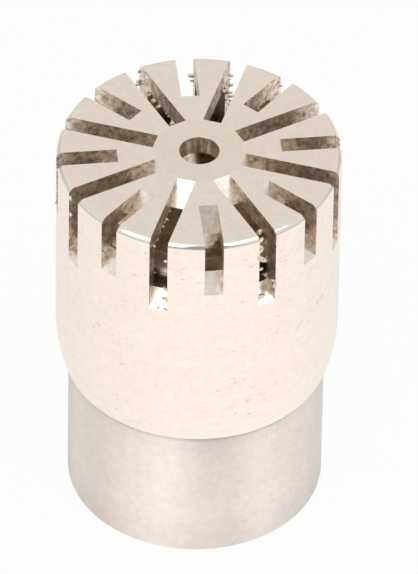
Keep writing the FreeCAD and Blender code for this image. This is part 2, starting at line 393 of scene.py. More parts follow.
def closed_mesh(name, vertices, faces, merge=0.0):
    """Mesh of a closed solid, with its faces pointing outwards. Points within merge of each other become
    one."""
    mesh = bpy.data.meshes.new(name)
    mesh.from_pydata(vertices, [], faces)
    work = bmesh.new()
    work.from_mesh(mesh)
    if merge:
        bmesh.ops.remove_doubles(work, verts=work.verts, dist=merge)
    bmesh.ops.recalc_face_normals(work, faces=work.faces)
    work.to_mesh(mesh)
    work.free()
    return mesh


def turned(name, outline, steps=turning_steps, step=0.6, fine=()):
    """Mesh in mm turned from a closed outline of (radius, height) points, listed so that the metal is on
    the left. Edges that start at an outline index in fine get points close together. Points on the axis
    become poles."""
    ring = []
    for index, (start, end) in enumerate(zip(outline, outline[1:] + outline[:1])):
        on_axis = start[0] == 0 and end[0] == 0
        ring += [start] if on_axis else even_points(start, end, thread_point_gap if index in fine else step)
    vertices, rows = [], []
    for radius, height in ring:
        if radius == 0:
            rows.append([len(vertices)] * steps)
            vertices.append((0, 0, height))
            continue
        rows.append(range(len(vertices), len(vertices) + steps))
        angles = [2 * math.pi * i / steps for i in range(steps)]
        vertices += [(radius * math.cos(angle), radius * math.sin(angle), height) for angle in angles]
    faces = []
    for low, high in zip(rows, rows[1:] + rows[:1]):
        for i in range(steps):
            j = (i + 1) % steps
            corners = list(dict.fromkeys((low[i], low[j], high[j], high[i])))
            if len(corners) > 2:
                faces.append(corners)
    return closed_mesh(name, vertices, faces)


def applied(work, *tools):
    """The object's mesh with its modifiers applied. The object and the tools that cut it are removed."""
    graph = bpy.context.evaluated_depsgraph_get()
    mesh = bpy.data.meshes.new_from_object(work.evaluated_get(graph))
    for used in (work, *tools):
        bpy.data.objects.remove(used)
    return mesh


def finished(name, mesh, material, body, node=None, sharp=35):
    """Piece of the capsule from a mesh in mm: scaled to metres, smooth but for its sharp edges, riding on
    its body."""
    mesh.name = name
    if material:
        mesh.materials.clear()
        mesh.materials.append(material)
    mesh.transform(Matrix.Scale(MM, 4))
    mesh.shade_smooth()
    mesh.set_sharp_from_angle(angle=math.radians(sharp))
    piece = scene_object(name, mesh)
    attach(piece, body)
    if node:
        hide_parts(node)


def geometry_modifier(work, tree, **inputs):
    """Geometry Nodes modifier on an object, with its named inputs set."""
    modifier = work.modifiers.new(tree.name, "NODES")
    modifier.node_group = tree
    for item in tree.interface.items_tree:
        key = item.name.replace(" ", "_").lower()
        if item.in_out == "INPUT" and key in inputs:
            modifier[item.identifier] = inputs[key]


def thread_tree():
    """Geometry Nodes that cut a sixty-degree thread into the wall of a turned mesh, by moving its
    points."""
    tree, given = new_group("cut_thread", "GeometryNodeTree", [
        ("Geometry", "Geometry"),
        ("Wall radius", "Float", 3.0),
        ("Start", "Float", 0.0),
        ("End", "Float", 1.0),
        ("Depth", "Float", 0.1),
    ], [("Geometry", "Geometry")])
    step = partial(math_step, tree)
    here = add_node(tree, "GeometryNodeInputPosition").outputs[0]
    x, y, z = add_node(tree, "ShaderNodeSeparateXYZ", {0: here}).outputs
    turns = step("DIVIDE", step("ARCTAN2", y, x), 2 * math.pi)
    phase = step("FRACT", step("SUBTRACT", step("DIVIDE", z, thread_pitch), turns))
    groove = step("MULTIPLY", step("PINGPONG", phase, 0.5), 2.0)
    groove = step("MULTIPLY", step("SUBTRACT", groove, thread_flat), 1 / thread_flank, clamp=True)
    inside = step("MINIMUM", step("SUBTRACT", z, given["Start"]), step("SUBTRACT", given["End"], z))
    groove = step("MULTIPLY", groove, step("MULTIPLY", inside, 1 / thread_run_out, clamp=True))
    level = vector_step(tree, "MULTIPLY", here, (1, 1, 0))
    off_wall = step("ABSOLUTE", step("SUBTRACT", vector_step(tree, "LENGTH", level), given["Wall radius"]))
    depth = step("MULTIPLY", step("MULTIPLY", groove, given["Depth"]), step("LESS_THAN", off_wall, 0.004))
    shift = vector_step(tree, "SCALE", vector_step(tree, "NORMALIZE", level), Scale=depth)
    move = add_node(tree, "GeometryNodeSetPosition", {"Geometry": given["Geometry"], "Offset": shift})
    add_node(tree, "NodeGroupOutput", {0: move.outputs[0]})
    return tree


def paint_and_end(tree, geometry, material):
    """Ends a tree: what it made becomes real geometry in its material."""
    whole = add_node(tree, "GeometryNodeRealizeInstances", {0: geometry}).outputs[0]
    painted = add_node(tree, "GeometryNodeSetMaterial",
                       {"Geometry": whole, "Material": material}).outputs[0]
    add_node(tree, "NodeGroupOutput", {0: painted})


def round_cuts_tree():
    """Geometry Nodes that cut evenly spaced copies of one cutter out of a turned piece."""
    tree, given = new_group("round_cuts", "GeometryNodeTree", [
        ("Geometry", "Geometry"),
        ("Cutter", "Object"),
        ("Count", "Int", 8),
        ("First angle", "Float", 0.0),
        ("Material", "Material"),
    ], [("Geometry", "Geometry")])
    cutter = add_node(tree, "GeometryNodeObjectInfo", {"Object": given["Cutter"]}).outputs["Geometry"]
    points = add_node(tree, "GeometryNodePoints", {"Count": given["Count"]}).outputs[0]
    number = add_node(tree, "GeometryNodeInputIndex").outputs[0]
    pitch = math_step(tree, "DIVIDE", 2 * math.pi, given["Count"])
    angle = math_step(tree, "MULTIPLY_ADD", number, pitch, given["First angle"])
    turn = add_node(tree, "ShaderNodeCombineXYZ", {"Z": angle}).outputs[0]
    placing = {"Points": points, "Instance": cutter, "Rotation": turn}
    copies = add_node(tree, "GeometryNodeInstanceOnPoints", placing).outputs[0]
    solid = add_node(tree, "GeometryNodeRealizeInstances", {0: copies}).outputs[0]
    meshes = {"Mesh 1": given["Geometry"], "Mesh 2": solid}
    cut = add_node(tree, "GeometryNodeMeshBoolean", meshes, operation="DIFFERENCE",
                   solver="EXACT").outputs["Mesh"]
    paint_and_end(tree, cut, given["Material"])
    return tree


def saw_cut(name, inner_radius, drop):
    """Prism in mm of what one plunge of the slitting saw removes towards -Y. The saw's edge meets the top
    of the grid at inner_radius and its side at drop below the top."""
    run = grid_radius - inner_radius
    half_chord = math.hypot(run, drop) / 2
    reach = math.sqrt(saw_radius ** 2 - half_chord ** 2) / (2 * half_chord)
    arbor = ((inner_radius + grid_radius) / 2 + drop * reach, grid_top - drop / 2 + run * reach)
    first = math.atan2(grid_top - arbor[1], inner_radius - arbor[0])
    last = math.atan2(grid_top - drop - arbor[1], grid_radius - arbor[0])
    beyond = math.degrees(saw_overrun / saw_radius)
    outline = quarter_round(arbor, saw_radius, math.degrees(first) - beyond, math.degrees(last) + beyond,
                            28)
    outline.append((outline[-1][0], outline[0][1]))
    count = len(outline)
    vertices = [(side * slot_width / 2, -radius, height) for side in (-1, 1) for radius, height in outline]
    faces = [tuple(range(count)), tuple(range(2 * count - 1, count - 1, -1))]
    faces += [(j, i, i + count, j + count) for i, j in zip(range(count), [*range(1, count), 0])]
    return scene_object(name, closed_mesh(name, vertices, faces))


def grid_outline():
    """Outline of the grid's wall, from the foot of the rim down the outside and up the inside to the centre
    hole's lip, and the index of its threaded edge."""
    plate_foot = grid_top - plate_thickness
    inset = grid_radius - skirt_bore - skirt_land
    round_radius = (skirt_round_height ** 2 + inset ** 2) / (2 * inset)
    round_top = grid_foot + skirt_round_height
    taper = math.degrees(math.asin(skirt_round_height / round_radius))
    lip = centre_hole_radius + edge_break
    soft_run = rim_soft * math.tan(math.pi / 8)
    inside = [
        *quarter_round((lip, grid_top - edge_break), edge_break, 90, 180, 3),
        *quarter_round((lip, plate_foot + edge_break), edge_break, 180, 270, 3),
        *quarter_round((chamber_radius - chamber_corner, plate_foot - chamber_corner), chamber_corner, 90,
                       0),
        (chamber_radius, shoulder_z + ledge_height + chamber_radius - ledge_radius),
        (ledge_radius, shoulder_z + ledge_height),
        (ledge_radius, shoulder_z),
        (thread_bore, shoulder_z),
    ]
    outside = [
        (thread_bore, thread_foot_z),
        (skirt_bore, thread_foot_z - lead_in_height),
        *quarter_round((skirt_bore + edge_break, grid_foot + edge_break), edge_break, 180, 270, 3),
        *quarter_round((grid_radius - round_radius, round_top), round_radius, -taper, 0, 14),
        *quarter_round((grid_radius - rim_soft, grid_top - rim_chamfer - soft_run), rim_soft, 0, 45, 4),
        *quarter_round((grid_radius - rim_chamfer - soft_run, grid_top - rim_soft), rim_soft, 45, 90, 4),
    ]
    return (inside + outside)[::-1], len(outside) - 1


lapped_face = metal("lapped_grid_face", (0.95, 0.83, 0.73), 0.28, cloud=(0.88, 0.80, 0.68), clouds=0.6,
                    blotch=0.22,
                    turned_lines=0.0, scratches=0.13, pits=0.12)
brushed_side = metal("brushed_grid_side", (0.99, 0.87, 0.76), 0.20, cloud=(0.97, 0.87, 0.78), clouds=0.7,
                     blotch=0.22, turned_lines=0.6, scratches=0.05, pits=0.75)
polished_edge = metal("polished_grid_rim", (0.92, 0.85, 0.77), 0.10, blotch=0.05, turned_lines=0.2,
                      scratches=0.0,
                      pits=0.0)
sawn_wall = metal("sawn_slot_wall", (0.90, 0.78, 0.65), 0.42, cloud=(0.68, 0.58, 0.48), clouds=1.0,
                  blotch=2.0,
                  turned_lines=0.0, scratches=0.3, pits=1.0, bump=0.5)
sawn_floor = metal("sawn_slot_floor", (1.0, 0.90, 0.80), 0.26, cloud=(0.92, 0.82, 0.74), clouds=0.9,
                   blotch=0.5,
                   turned_lines=0.1, scratches=0.1, pits=0.5, bump=0.12)
turned_inside = metal("turned_grid_inside", (0.66, 0.56, 0.45), 0.40, blotch=0.8, turned_lines=0.9,
                      scratches=0.2,
                      pits=0.5, bump=0.4)
drilled_wall = metal("drilled_hole_wall", (1.0, 0.88, 0.76), 0.34, cloud=(0.48, 0.41, 0.34), clouds=1.0,
                     blotch=2.8,
                     turned_lines=0.3, scratches=0.0, pits=1.0, bump=0.6)


def add_saw_marks(material, stretch, line_tone, grain_tone, line_bump):
    """Adds the marks of the slitting saw, lines across or along its path as stretch says, and the torn
    grain between them."""
    tree = material.node_tree
    step = partial(math_step, tree)
    spot, radius = place_in_mm(tree)
    x, y, z = add_node(tree, "ShaderNodeSeparateXYZ", {0: spot}).outputs
    bearing = step("MULTIPLY", step("ARCTAN2", y, x), 9.0)
    lay = {0: step("ADD", radius, z), 1: step("SUBTRACT", radius, z), 2: bearing}
    lay = add_node(tree, "ShaderNodeCombineXYZ", lay).outputs[0]
    lines = step("SUBTRACT", scaled_noise(tree, lay, stretch, detail=4.0, roughness=0.75), 0.5)
    grain = step("SUBTRACT", scaled_noise(tree, spot, (6.5, 6.5, 6.5), detail=3.0, roughness=0.6), 0.5)
    tone = step("MULTIPLY_ADD", grain, grain_tone, step("MULTIPLY_ADD", lines, line_tone, 1.0))
    tone_down(material, tone)
    height = step("MULTIPLY_ADD", lines, line_bump, tree.nodes["wear"].outputs["Height"])
    feed(tree.nodes["relief"], {"Height": height})


def add_tint(material, tint, where, reach, soft):
    """Multiplies a finish's colour by a tint inside a reach in mm: of the axis, or of a point if where is
    given."""
    tree = material.node_tree
    base_colour = tree.nodes["Principled BSDF"].inputs["Base Color"]
    spot, radius = place_in_mm(tree)
    away = vector_step(tree, "DISTANCE", spot, where) if where else radius
    away = math_step(tree, "MULTIPLY_ADD", scaled_noise(tree, spot, (6.0, 6.0, 6.0), detail=3.0), soft,
                     away)
    inside = math_step(tree, "DIVIDE", math_step(tree, "SUBTRACT", reach + soft, away), soft, clamp=True)
    tinted = blend(tree, inside, base_colour.links[0].from_socket, (*tint, 1.0), "MULTIPLY")
    tree.links.new(tinted, base_colour)


add_saw_marks(sawn_wall, (11.0, 1.1, 1.0), 1.1, 2.3, 1.8)
add_saw_marks(sawn_floor, (1.5, 9.0, 2.0), 0.35, 0.5, 0.4)
add_tint(lapped_face, (0.955, 0.96, 0.93), None, 1.10, 0.06)
add_tint(sawn_wall, (0.55, 0.85, 0.42), green_spot, 0.08, 0.14)


def grid_finish(face):
    """Index of the finish of a face of the grid, by where it is and which way it looks."""
    centre, normal = face.center, face.normal
    radius = math.hypot(centre.x, centre.y)
    outward = (centre.x * normal.x + centre.y * normal.y) / max(radius, 1e-6)
    if centre.z > grid_top - 0.003:
        return 0
    if radius < centre_hole_radius + 0.03:
        return 6
    on_rim = centre.z > grid_top - rim_chamfer - 0.03 and radius > grid_radius - rim_chamfer - 0.04
    if on_rim and 0.1 < outward < 0.99:
        return 2
    if outward > 0.9 and radius > skirt_bore + 0.02:
        return 1
    if centre.z > slots_foot_z and normal.z > 0.4 and outward > 0.4 and radius > 1:
        return 4
    if centre.z > slots_foot_z and radius < grid_radius - 0.01 and abs(outward) < 0.9 and normal.z > -0.9:
        return 3
    return 5


cut_thread = thread_tree()
round_cuts = round_cuts_tree()
outline, thread_edge = grid_outline()
work = scene_object("protection_grid_work", turned("protection_grid", outline, step=0.12,
                                                   fine={thread_edge}))
geometry_modifier(work, cut_thread, wall_radius=thread_bore, start=thread_foot_z, end=shoulder_z - 0.05,
                  depth=front_thread_depth)
short_blade = saw_cut("short_saw_cut", *short_slot)
long_blade = saw_cut("long_saw_cut", *long_slot)
geometry_modifier(work, round_cuts, cutter=short_blade, count=slot_pairs, material=brushed_side)
geometry_modifier(work, round_cuts, cutter=long_blade, count=slot_pairs, first_angle=math.pi / slot_pairs,
                  material=brushed_side)
grid_mesh = applied(work, short_blade, long_blade)
finishes = [grid_finish(face) for face in grid_mesh.polygons]
grid_mesh.materials.clear()
for material in (lapped_face, brushed_side, polished_edge, sawn_wall, sawn_floor, turned_inside,
                 drilled_wall):
    grid_mesh.materials.append(material)
grid_mesh.polygons.foreach_set("material_index", finishes)
finished("slotted_grid", grid_mesh, None, "grid", "protection_grid")

# Burrs. The saw has left torn flakes and whiskers of metal along the edges of the slots, thickest in the
# slots behind the centre hole, where they hang from the plate and stand out from the walls. The largest
# curls are placed one by one, by slot, side, distance from the axis, height and size.
burr_spacing = 0.02
burr_share = {
    0: (0.12, 0.04),
    1: (0.20, 0.20),
    2: (0.08, 0.15),
    3: (0.08, 0.20),
    7: (0.12, 0.20),
    8: (0.0, 0.0),
    9: (0.22, 0.20),
    14: (0.20, 0.06),
    15: (0.60, 0.12),
}
burr_share_elsewhere = (0.08, 0.08)
burr_smallest = (0.012, 0.018, 0.02)
burr_largest = (0.060, 0.120, 0.17)
burr_seed = 4
burr_curls = [
    (0, -1, 3.47, 9.84, 1.1),
    (0, -1, 3.46, 9.70, 0.5),
    (0, -1, 3.40, 9.95, 0.4),
    (1, 1, 3.48, 9.38, 0.5),
    (1, 1, 3.48, 9.24, 0.7),
    (1, 1, 3.48, 9.12, 0.4),
    (1, 1, 3.48, 8.98, 0.6),
    (1, -1, 3.48, 9.90, 0.4),
    (1, -1, 3.48, 9.50, 0.5),
    (7, -1, 3.42, 10.30, 1.1),
    (7, -1, 3.44, 10.20, 0.8),
    (7, -1, 3.45, 9.98, 1.2),
    (7, -1, 3.46, 9.86, 1.4),
    (7, -1, 3.47, 9.46, 0.6),
    (7, -1, 3.44, 8.52, 1.1),
    (9, -1, 3.20, 10.10, 0.5),
    (9, 1, 3.47, 8.96, 0.9),
]


def slot_ways(number):
    """Ways along and across a slot, counted from the back."""
    turn = math.pi / 2 - number * math.pi / slot_pairs
    return Vector((math.cos(turn), math.sin(turn), 0)), Vector((-math.sin(turn), math.cos(turn), 0))


def slot_edges():
    """Points along the slots' edges in mm, each with the way that a burr leans there, how likely one is,
    and the size of a placed curl, which is 0 elsewhere."""
    edges = []
    half = slot_width / 2
    plate_foot = grid_top - plate_thickness

    def add_point(reach, sideways, height, lean, share, size=0.0):
        edges.append((radial * reach + across * sideways + Vector((0, 0, height)), lean, share, size))

    for number in range(2 * slot_pairs):
        share_of = dict(zip((-1, 1), burr_share.get(number, burr_share_elsewhere)))
        inner_radius, drop = long_slot if number % 2 else short_slot
        radial, across = slot_ways(number)
        foot = grid_top - drop
        outer = math.sqrt(grid_radius ** 2 - half ** 2) - 0.01
        chamber = math.sqrt(chamber_radius ** 2 - half ** 2) + 0.01
        plate_start = inner_radius + (grid_top - plate_foot) / drop * (grid_radius - inner_radius)
        chamber_foot = grid_top - (chamber_radius - inner_radius) / (grid_radius - inner_radius) * drop
        lines = [
            ((outer, grid_top - 0.2), (outer, foot), (0.1, -0.2), 0.5),
            ((plate_start, plate_foot), (chamber - 0.1, plate_foot), (0, -1.2), 1.0),
            ((chamber, plate_foot - 0.1), (chamber, chamber_foot), (-0.5, -0.4), 0.6),
        ]
        for side in (-1, 1):
            for start, end, (lean_out, lean_up), weight in lines:
                lean = across * -side + radial * lean_out + Vector((0, 0, lean_up))
                for reach, height in even_points(start, end, burr_spacing):
                    add_point(reach, side * half, height, lean, share_of[side] * weight)
        for i in range(round(slot_width / burr_spacing)):
            sideways = i * burr_spacing - half
            lean = radial * 0.15 + Vector((0, 0, 0.6)) + across * (0.5 - i % 2)
            add_point(outer - 0.01, sideways, foot + 0.01, lean, share_of[1] * 0.8)
            add_point(chamber, sideways, chamber_foot, radial * -1 + Vector((0, 0, 0.3)), share_of[1] * 0.5)
    for number, side, reach, height, size in burr_curls:
        radial, across = slot_ways(number)
        add_point(reach, side * half, height, across * -side + radial * 0.3, 1.0, size)
    return zip(*edges)


def torn_flake():
    """Curled sliver of metal standing on its root, one unit long, as a closed mesh."""
    sections = (
        (0, 0, 1.0, 1.2),
        (0.30, 0.04, 1.2, 1.4),
        (0.60, 0.12, 1.15, 1.5),
        (0.84, 0.24, 0.85, 1.1),
        (0.96, 0.36, 0.4, 0.5),
    )
    sides = 6
    vertices = []
    for height, curl, width, thickness in sections:
        for i in range(sides):
            angle = 2 * math.pi * i / sides
            deep, across = math.cos(angle) * thickness / 2, math.sin(angle) * width / 2
            vertices.append((curl + deep, across + 0.2 * curl, height + 0.3 * across * height))
    last = len(vertices) - sides
    faces = [tuple(range(sides))[::-1], tuple(range(last, last + sides))]
    for low in range(0, last, sides):
        around = [(low + i, low + (i + 1) % sides) for i in range(sides)]
        faces += [(here, there, there + sides, here + sides) for here, there in around]
    return scene_object("torn_flake", closed_mesh("torn_flake", vertices, faces))


def burr_tree():
    """Geometry Nodes that set a flake on some of the points, leaning as each point says, in random
    sizes."""
    tree, given = new_group("saw_burrs", "GeometryNodeTree", [
        ("Geometry", "Geometry"),
        ("Flake", "Object"),
        ("Smallest", "Vector", (0.01, 0.02, 0.02)),
        ("Largest", "Vector", (0.02, 0.05, 0.1)),
        ("Seed", "Int", 0),
        ("Material", "Material"),
    ], [("Geometry", "Geometry")])
    step = partial(math_step, tree)

    def of_point(name, kind="FLOAT"):
        stored = add_node(tree, "GeometryNodeInputNamedAttribute", {"Name": name}, data_type=kind)
        return stored.outputs["Attribute"]

    def random(seed, kind="FLOAT", output=1, **limits):
        inputs = {"Seed": seed} | {int(place[-1]): value for place, value in limits.items()}
        return add_node(tree, "FunctionNodeRandomValue", inputs, data_type=kind).outputs[output]

    curl = of_point("curl")
    tufts = add_node(tree, "ShaderNodeTexNoise", {"Scale": 5.0, "Detail": 1.0}).outputs["Fac"]
    thick = step("MULTIPLY", step("SUBTRACT", tufts, 0.42), 7.0, clamp=True)
    thick = step("MAXIMUM", step("MULTIPLY", thick, of_point("share")), step("MULTIPLY", curl, 100.0))
    few = {0: random(given["Seed"]), 1: thick}
    kept = add_node(tree, "FunctionNodeCompare", few, data_type="FLOAT", operation="LESS_THAN").outputs[0]
    sway = random(given["Seed"], "FLOAT_VECTOR", 0, input_0=(-0.5, -0.5, -0.5), input_1=(0.5, 0.5, 0.5))
    aim = vector_step(tree, "ADD", of_point("lean", "FLOAT_VECTOR"), sway)
    stand = add_node(tree, "FunctionNodeAlignRotationToVector", {"Vector": aim}, axis="Z").outputs[0]
    growth = step("POWER", random(step("ADD", given["Seed"], 7)), 3.5)
    unplaced = step("SUBTRACT", 1.0, step("GREATER_THAN", curl, 0.0))
    growth = step("MULTIPLY_ADD", growth, unplaced, curl)
    sizes = {0: growth, 4: given["Smallest"], 5: given["Largest"]}
    size = add_node(tree, "ShaderNodeMix", sizes, data_type="VECTOR", clamp_factor=False).outputs[1]
    flake = add_node(tree, "GeometryNodeObjectInfo", {"Object": given["Flake"]}).outputs["Geometry"]
    placing = {"Points": given["Geometry"], "Selection": kept, "Instance": flake, "Rotation": stand,
               "Scale": size}
    copies = add_node(tree, "GeometryNodeInstanceOnPoints", placing).outputs[0]
    paint_and_end(tree, copies, given["Material"])
    return tree


torn_metal = metal("torn_metal", (1.0, 0.84, 0.70), 0.36, cloud=(0.70, 0.58, 0.46), clouds=0.8, blotch=1.2,
                   turned_lines=0.0, scratches=0.0, pits=0.5)
points, leans, shares, curls = slot_edges()
mesh = bpy.data.meshes.new("slot_edges")
mesh.from_pydata(points, [], [])
mesh.attributes.new("lean", "FLOAT_VECTOR", "POINT").data.foreach_set("vector",
                                                                      [v for lean in leans for v in lean])
mesh.attributes.new("share", "FLOAT", "POINT").data.foreach_set("value", shares)
mesh.attributes.new("curl", "FLOAT", "POINT").data.foreach_set("value", curls)
work = scene_object("burr_work", mesh)
flake = torn_flake()
geometry_modifier(work, burr_tree(), flake=flake, smallest=burr_smallest, largest=burr_largest,
                  seed=burr_seed,
                  material=torn_metal)
mesh = applied(work, flake)
for name in ("lean", "share", "curl"):
    if name in mesh.attributes:
        mesh.attributes.remove(mesh.attributes[name])
finished("saw_burrs", mesh, torn_metal, "grid", sharp=80)

# Barrel. A plain tube of the same nickel alloy, finely brushed, greyer than the grid. Its front is stepped
# down for the grid's thread and for the neck that carries the foil, and its rear is a socket with an
# internal thread. Its side is left bare.
barrel_radius = 3.175
barrel_top_z = 5.15
front_relief_radius = 2.8975
front_thread_crest = 3.0275
neck_radius = 2.4875
rim_z = 8.82
diaphragm_radius = 2.1475
seat_z = 6.52
insulator_bore = 2.45
relief_top_z = 3.15
relief_radius = 2.87
rear_thread_end_z = 2.9
rear_thread_crest = 2.6209
rear_thread_root = 2.85
rear_thread_depth = rear_thread_root - rear_thread_crest
shoulder_break = 0.05
rear_rim_break = 0.03
# Broad bands of tone, placed so that the barrel's front is pale and its sides dull: painted shading.
shading_band_place = 196.5
shading_band_tone = 0.95
band_mean = 0.84
mottle_tone = 0.12
# Painted shadow under the grid's skirt: a ring that darkens towards the skirt's foot, with a darker line
# right under it.
skirt_shadow_height = 0.6
skirt_shadow_tone = 0.08
skirt_shadow_line_z = 3.66
# Painted shade that darkens the barrel towards the bottom, where it stands on the sheet.
foot_shade_height = 1.2
foot_shade_tone = 0.10
thread_margin = 0.02

barrel_outline = [
    (rear_thread_root, 0),
    (barrel_radius - rear_rim_break, 0),
    *quarter_round((barrel_radius - rear_rim_break, rear_rim_break), rear_rim_break, -90, 0),
    (barrel_radius, barrel_top_z - shoulder_break),
    (barrel_radius - shoulder_break, barrel_top_z),
    (front_relief_radius, barrel_top_z),
    (front_relief_radius, thread_foot_z),
    (front_thread_crest, thread_foot_z),
    (front_thread_crest, shoulder_z - shoulder_break),
    (front_thread_crest - shoulder_break, shoulder_z),
    (neck_radius, shoulder_z),
    (neck_radius, rim_z),
    (diaphragm_radius, rim_z),
    (diaphragm_radius, seat_z),
    (insulator_bore, seat_z),
    (insulator_bore, relief_top_z),
    (relief_radius, relief_top_z),
    (relief_radius, rear_thread_end_z),
    (rear_thread_crest, rear_thread_end_z),
    (rear_thread_crest, rear_thread_depth),
]
threaded_edges = {
    barrel_outline.index((front_thread_crest, thread_foot_z)),
    barrel_outline.index((rear_thread_crest, rear_thread_end_z)),
}
brushed_barrel = metal("brushed_barrel", (1.0, 0.885, 0.81), 0.36, cloud=(0.93, 0.86, 0.80), clouds=0.5,
                       edge_tint=(0.95, 1.0, 1.0), blotch=0.25, turned_lines=0.45, scratches=0.1, pits=0.12)


def add_mottle_and_painted_shading(material):
    """Adds to the barrel's finish its fine mottling, and painted shading: broad bands that leave its front
    pale and its sides dull, a painted shadow with a darker line under the skirt's foot, and painted shade
    towards the bottom."""
    tree = material.node_tree
    step = partial(math_step, tree)
    spot, radius = place_in_mm(tree)
    z = add_node(tree, "ShaderNodeSeparateXYZ", {0: spot}).outputs["Z"]
    # Broad bands placed so that the front is pale and the sides dull: painted shading.
    bands = step("SUBTRACT", scaled_noise(tree, spot, (0.45, 0.45, 0.06), detail=1.0, w=shading_band_place), 0.5)
    mottle = step("SUBTRACT", scaled_noise(tree, spot, (6.0, 6.0, 6.0), detail=3.0, roughness=0.6), 0.5)
    # Painted shadow under the skirt: a ring that darkens up to the skirt's foot and a darker line right
    # under it.
    ring = step("DIVIDE", step("SUBTRACT", z, grid_foot - skirt_shadow_height), skirt_shadow_height, clamp=True)
    line = step("MULTIPLY", step("SUBTRACT", z, skirt_shadow_line_z), 12.0, clamp=True)
    ring = step("MULTIPLY", step("MULTIPLY_ADD", line, 2.0, ring), step("LESS_THAN", z, grid_foot))
    # Painted shade, darker towards the bottom.
    foot = step("ADD", step("DIVIDE", z, -foot_shade_height), 1.0, clamp=True)
    tone = step("MULTIPLY_ADD", bands, shading_band_tone, band_mean)
    tone = step("MULTIPLY_ADD", mottle, mottle_tone, tone)
    tone = step("MULTIPLY_ADD", ring, -skirt_shadow_tone, tone)
    tone_down(material, step("MULTIPLY_ADD", foot, -foot_shade_tone, tone))


add_mottle_and_painted_shading(brushed_barrel)
work = scene_object("barrel_work", turned("barrel", barrel_outline, steps=320, step=0.3,
                                          fine=threaded_edges))
geometry_modifier(work, cut_thread, wall_radius=front_thread_crest, start=thread_foot_z + thread_margin,
                  end=shoulder_z - shoulder_break - thread_margin, depth=-front_thread_depth)
geometry_modifier(work, cut_thread, wall_radius=rear_thread_crest, start=rear_thread_depth - 0.1,
                  end=rear_thread_end_z - thread_margin, depth=rear_thread_depth)
finished("barrel", applied(work), brushed_barrel, "capsule", "housing")

# Clamp ring. A turned ring screwed down over the neck. Its inner lip presses the slip washer and the foil
# on to the rim. Tool lines run round its face.
clamp_ring_radius = 2.7975
clamp_ring_bore = 2.4975
clamp_ring_foot_z = 8.0
lip_radius = 2.1975
lip_foot_z = 8.88
clamp_front_z = 9.0
clamp_edge = 0.07
turned_ring = metal("turned_ring", (0.88, 0.80, 0.68), 0.30, cloud=(0.70, 0.62, 0.52), clouds=1.0,
                    blotch=0.6,
                    turned_lines=1.4, scratches=0.1, pits=0.5, bump=0.5)
clamp_outline = [
    (clamp_ring_bore, clamp_ring_foot_z),
    (clamp_ring_radius, clamp_ring_foot_z),
    *quarter_round((clamp_ring_radius - clamp_edge, clamp_front_z - clamp_edge), clamp_edge, 0, 90),
    *quarter_round((lip_radius + clamp_edge, clamp_front_z - clamp_edge), clamp_edge, 90, 180),
    (lip_radius, lip_foot_z),
    (clamp_ring_bore, lip_foot_z),
]


def turned_piece(name, outline, steps, material, node):
    """Inner piece of the capsule that is turned and needs no other work."""
    finished(name, turned(name, outline, steps=steps), material, "capsule", node)


turned_piece("foil_clamp_ring", clamp_outline, 256, turned_ring, "clamp_ring")

# Slip washer and foil. The foil is a metal skin stretched over the rim, flat and bright, with dust on it.
# The thin washer on its edge keeps the clamp ring from dragging it round.
washer_radius = 2.4675
foil_top_z = 8.84
dusty_foil = metal("dusty_foil", (0.90, 0.79, 0.69), 0.10, cloud=(0.62, 0.52, 0.44), clouds=1.0, blotch=2.2,
                   turned_lines=0.0, scratches=0.1, pits=1.0)


def flat_ring(inner, outer, foot, top):
    """Outline of a washer, or of a disc if inner is 0."""
    return [(inner, foot), (outer, foot), (outer, top), (inner, top)]


foil_outline = flat_ring(0, washer_radius, rim_z, foil_top_z)
washer_outline = flat_ring(lip_radius, washer_radius, foil_top_z, lip_foot_z)
turned_piece("stretched_foil", foil_outline, 256, dusty_foil, "diaphragm")
turned_piece("slip_ring", washer_outline, 256, turned_ring, "slip_washer")

# Backplate. The fixed electrode close behind the foil, turned in one piece with its pedestal and stem, with
# six holes that damp the foil.
backplate_radius = 1.9475
backplate_top_z = 8.8
backplate_foot_z = 8.25
backplate_edge = 0.05
pedestal_radius = 0.55
pedestal_flare = 0.15
stem_radius = 0.4
stem_foot_z = 4.02
insulator_top_z = 6.47
damping_hole_radius = 0.16
damping_hole_circle = 1.4975
damping_hole_count = 6
drill_overrun = 0.1
lapped_electrode = metal("lapped_electrode", (0.72, 0.68, 0.62), 0.28, blotch=0.2, turned_lines=0.5,
                         scratches=0.3)
backplate_outline = [
    (0, stem_foot_z),
    (stem_radius, stem_foot_z),
    (stem_radius, insulator_top_z),
    (pedestal_radius, insulator_top_z),
    (pedestal_radius, backplate_foot_z - pedestal_flare),
    (pedestal_radius + pedestal_flare, backplate_foot_z),
    (backplate_radius, backplate_foot_z),
    (backplate_radius, backplate_top_z - backplate_edge),
    (backplate_radius - backplate_edge, backplate_top_z),
    (0, backplate_top_z),
]


def round_bar(name, radius, low, high, distance):
    """Upright round bar in mm at a distance from the axis, as a drill or a wire."""
    mesh = turned(name, flat_ring(0, radius, low, high), steps=32, step=9)
    mesh.transform(Matrix.Translation((distance, 0, 0)))
    return scene_object(name, mesh)


def cut_piece(name, outline, steps, cutter, count, first_angle, material, node):
    """Inner piece of the capsule that is turned, and then has evenly spaced holes or slots cut in it."""
    work = scene_object(name + "_work", turned(name, outline, steps=steps))
    geometry_modifier(work, round_cuts, cutter=cutter, count=count, first_angle=first_angle,
                      material=material)
    finished(name, applied(work, cutter), material, "capsule", node)


drill = round_bar("damping_drill", damping_hole_radius, backplate_foot_z - drill_overrun,
                  backplate_top_z + drill_overrun, damping_hole_circle)
cut_piece("electrode", backplate_outline, 128, drill, damping_hole_count, 0.0, lapped_electrode,
          "backplate")

# Quartz insulator. A polished disc that carries the electrode. A fine hole through it lets the air pressure
# behind the foil follow the weather, and a silver wire in the hole chokes it.
insulator_radius = 2.44
insulator_foot_z = 5.17
insulator_edge = 0.06
stem_hole_radius = 0.42
vent_hole_radius = 0.08
vent_hole_circle = 1.1
vent_wire_radius = 0.06
vent_wire_stand = 0.12


